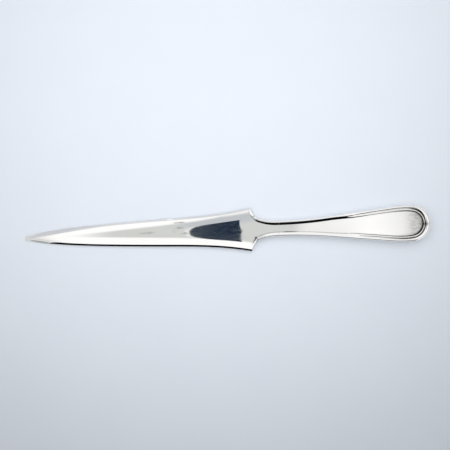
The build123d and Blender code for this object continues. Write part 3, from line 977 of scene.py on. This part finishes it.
# Paler left and front parts of the dark card, in metres, and how pale the front, the clouds and the mottle
# are.
# These are painted haze: they stand in for light that smudges on the silver scatter over the card's
# reflection.
PALE_LEFT = (-0.041, -0.01)
PALE_FRONT = (-0.045, -0.012)
PALE_FRONT_FALL = (0.7, 0.0)
PALE_CLOUDS = (0.45, 1.0)
PALE_MOTTLE = (0.0, 0.6)

# Cards of one brightness: name, colour, corners
CARDS = (
    ("front_card", (0.004, 0.0045, 0.005), (
        (-185, -119, 287.5), (200, -119, 287.5), (215, -185, 214), (25, -185, 214), (25, -300, 86),
        (-240, -300, 86), (-199, -145, 258.6),
    )),
    ("low_card", (0.19, 0.2, 0.2), ((25, -185, 214), (215, -185, 214), (215, -300, 86), (25, -300, 86))),
    ("side_card", (0.36, 0.37, 0.365), (
        (-400, -144, 263.7), (-150, -144, 263.7), (-150, -300, 90), (-400, -300, 90),
    )),
    ("left_card", (0.74, 0.75, 0.74), (
        (-400, -119, 291.5), (-195, -119, 291.5), (-203, -144, 263.7), (-400, -144, 263.7),
    )),
    ("back_card", (0.72, 0.735, 0.775), ((-420, 340, 300), (320, 340, 300), (320, 420, 70), (-420, 420, 70))),
)

# Lamp, in metres and watts, the world's light, and the camera straight above with the part turned a little in
# its frame, whose width is measured at the height of the part's face
LAMP_PLACE = (-0.006, 0.08, 0.15)
LAMP_LEAN = radians(4)
LAMP_SIZE = 0.34
LAMP_POWER = 0.322
WORLD_LEVEL = 0.4
CAMERA_PLACE = (-0.0005, 0.00262)
CAMERA_HEIGHT = 0.28
FACE_HEIGHT = 0.0025
FRAME_WIDTH = 0.21065
SENSOR_WIDTH = 36.0
TURN = radians(2.245)


def flat_mesh(name, corners, material):
    """Stage object with one face, its corners in millimetres."""
    mesh = bpy.data.meshes.new(name)
    mesh.from_pydata([tuple(v / 1000 for v in corner) for corner in corners], [], [range(len(corners))])
    mesh.materials.append(material)
    thing = bpy.data.objects.new(name, mesh)
    bpy.context.scene.collection.objects.link(thing)
    return thing


def mirrored_only(thing):
    """Leave a stage object to reflections."""
    thing.visible_camera = False
    thing.visible_diffuse = False
    thing.visible_shadow = False


def seen_rays(tree):
    """1 for rays from the camera and for those that are mirrored or let through, 0 for the rest."""
    rays = add(tree, "ShaderNodeLightPath").outputs
    onward = calc(tree, "MAXIMUM", rays["Is Glossy Ray"], rays["Is Transmission Ray"])
    return calc(tree, "MAXIMUM", rays["Is Camera Ray"], onward)


def floor_material():
    """Plain pale floor, which is seen to fade into the background."""
    material, tree = node_tree("pale_floor")
    cloud = noise(tree, size=0.03, detail=3.0, seed=0.2)
    colour = mixed(tree, ranged(tree, cloud, WIDE_MIDDLE), FLOOR_COLOUR, FLOOR_CLOUD)
    board = add(tree, "ShaderNodeBsdfPrincipled", {"Base Color": colour, "Roughness": FLOOR_ROUGHNESS})
    place = add(tree, "ShaderNodeTexCoord").outputs["Object"]
    away = add(tree, "ShaderNodeVectorMath", {0: place}, operation="LENGTH").outputs["Value"]
    faded = calc(tree, "MULTIPLY", ranged(tree, away, FLOOR_FADE), seen_rays(tree))
    glow = add(tree, "ShaderNodeEmission", {"Color": HORIZON, "Strength": 1.0})
    surface = add(tree, "ShaderNodeMixShader", {0: faded, 1: board.outputs[0], 2: glow.outputs[0]})
    add(tree, "ShaderNodeOutputMaterial", {"Surface": surface.outputs[0]})
    return material


def glowing(material, tree, colour):
    """Finish a material with plain light."""
    glow = add(tree, "ShaderNodeEmission", {"Color": colour, "Strength": 1.0})
    add(tree, "ShaderNodeOutputMaterial", {"Surface": glow.outputs[0]})
    return material


def card_material(name, colour):
    """Card of one brightness."""
    material, tree = node_tree(name)
    return glowing(material, tree, (*colour, 1))


def camera_card_material():
    """Dark card with a fine mottle and a paler, cloudy left and front part, which are painted haze of smudges
    on the silver.
    """
    material, tree = node_tree("camera_card")
    x, y = in_plan(tree)
    left = ranged(tree, x, PALE_LEFT, FALLING)
    front = ranged(tree, y, PALE_FRONT, PALE_FRONT_FALL)
    cloud = noise(tree, size=0.006, detail=4.0, seed=6.1, stretch=0.6)
    mottle = noise(tree, size=0.0035, detail=3.0, seed=2.7, stretch=0.7)
    pale = calc(tree, "MAXIMUM", left, front)
    pale = calc(tree, "MULTIPLY", pale, ranged(tree, cloud, MIDDLE, PALE_CLOUDS))
    pale = calc(tree, "MAXIMUM", pale, ranged(tree, mottle, HIGH_MIDDLE, PALE_MOTTLE))
    return glowing(material, tree, mixed(tree, pale, CAMERA_CARD_DARK, CAMERA_CARD_PALE))


def rounded_left(x, y, reach, half, z):
    """Corners of a level card that bulges to the left from a straight right side."""
    corners = []
    for turn in np.linspace(0, pi, CARD_POINTS):
        bulge = reach * sin(turn) ** CARD_ROUNDING
        corners.append((x - bulge, y + half * np.sign(cos(turn)) * abs(cos(turn)) ** CARD_ROUNDING, z))
    return corners


def ceiling_white(tree, x):
    """White of the ceiling, brighter or darker along X."""
    span = (CEILING_X[1] - CEILING_X[0]) / 1000
    ramp = add(tree, "ShaderNodeValToRGB", {0: line(tree, x, 1 / span, -CEILING_X[0] / 1000 / span)})
    stops = ramp.color_ramp.elements
    stops[0].position, stops[1].position = 0.0, 1.0
    for stop, level in ((stops[0], CEILING_LEVELS[0][1]), (stops[1], CEILING_LEVELS[-1][1])):
        stop.color = (level, level, level, 1)
    for at, level in CEILING_LEVELS:
        stops.new((at - CEILING_X[0]) / 1000 / span).color = (level, level, level, 1)
    return ramp.outputs[0]


def ceiling_material():
    """Bright soft ceiling: a grey wedge in the middle, and a greyer part at the back."""
    material, tree = node_tree("soft_ceiling")
    x, y = in_plan(tree)
    back_edge = calc(tree, "MINIMUM", *[line(tree, x, *edge) for edge in WEDGE_BACK])
    front_edge = calc(tree, "MINIMUM", *[line(tree, x, *edge) for edge in WEDGE_FRONT])
    within_back = ranged(tree, calc(tree, "SUBTRACT", y, back_edge), WEDGE_BACK_SOFT, FALLING)
    within_front = ranged(tree, calc(tree, "ADD", y, front_edge), WEDGE_FRONT_SOFT)
    within_ends = calc(tree, "MULTIPLY", ranged(tree, x, WEDGE_LEFT), ranged(tree, x, WEDGE_RIGHT, FALLING))
    wedge = calc(tree, "MULTIPLY", within_ends, calc(tree, "MULTIPLY", within_back, within_front))
    cool = calc(tree, "MULTIPLY", ranged(tree, y, COOL_BACK), ranged(tree, x, COOL_RIGHT))
    grey = mixed(tree, cool, WEDGE_GREY, COOL_GREY)
    colour = mixed(tree, wedge, ceiling_white(tree, x), grey)

    far_edge = calc(tree, "MINIMUM", line(tree, x, *FAR_EDGE), FAR_EDGE_LIMIT)
    far = ranged(tree, calc(tree, "SUBTRACT", y, far_edge), FAR_SOFT)
    far_left = mixed(tree, ranged(tree, x, FAR_GREY_X), FAR_LEFT_GREY, FAR_GREY)
    far_colour = mixed(tree, ranged(tree, x, FAR_WHITE_X), far_left, FAR_WHITE)
    return glowing(material, tree, mixed(tree, far, colour, far_colour))


floor_corners = [(x * FLOOR_HALF, y * FLOOR_HALF, FLOOR_Z) for x, y in SQUARE]
flat_mesh("floor", floor_corners, floor_material())
ceiling_corners = [(CEILING_X[x > 0], CEILING_Y[y > 0], CEILING_Z) for x, y in SQUARE]
mirrored_only(flat_mesh("ceiling", ceiling_corners, ceiling_material()))
rim_corners = rounded_left(*CAMERA_RIM, CAMERA_RIM_Z)
mirrored_only(flat_mesh("camera_rim", rim_corners, card_material("camera_rim", CAMERA_RIM_COLOUR)))
camera_corners = [*rounded_left(*CAMERA_CARD, CAMERA_CARD_Z), (*CAMERA_CARD_RIGHT, CAMERA_CARD_Z)]
mirrored_only(flat_mesh("camera_card", camera_corners, camera_card_material()))
for name, colour, corners in CARDS:
    mirrored_only(flat_mesh(name, corners, card_material(name, colour)))

softbox = bpy.data.lights.new("softbox", "AREA")
softbox.shape = "DISK"
softbox.size = LAMP_SIZE
softbox.energy = LAMP_POWER
lamp = bpy.data.objects.new("softbox", softbox)
lamp.location = LAMP_PLACE
lamp.rotation_euler = (LAMP_LEAN, 0, 0)
lamp.visible_camera = False
lamp.visible_glossy = False
bpy.context.scene.collection.objects.link(lamp)

world = bpy.data.worlds.new("studio")
world.use_nodes = True
tree = world.node_tree
tree.nodes.clear()
direction = add(tree, "ShaderNodeTexCoord").outputs["Generated"]
up = add(tree, "ShaderNodeSeparateXYZ", {0: direction}).outputs[2]
sky = mixed(tree, ranged(tree, up, SKY_RISE), HORIZON, HIGH_SKY)
strength = ranged(tree, seen_rays(tree), RISING, (WORLD_LEVEL, 1.0))
background = add(tree, "ShaderNodeBackground", {"Color": sky, "Strength": strength})
add(tree, "ShaderNodeOutputWorld", {"Surface": background.outputs[0]})
bpy.context.scene.world = world

lens = bpy.data.cameras.new("camera")
lens.sensor_width = SENSOR_WIDTH
lens.lens = SENSOR_WIDTH * CAMERA_HEIGHT / FRAME_WIDTH
camera = bpy.data.objects.new("camera", lens)
camera.location = (*CAMERA_PLACE, CAMERA_HEIGHT + FACE_HEIGHT)
camera.rotation_euler = (0, 0, -TURN)
bpy.context.scene.collection.objects.link(camera)
bpy.context.scene.camera = camera
bpy.context.scene.view_settings.view_transform = "Standard"
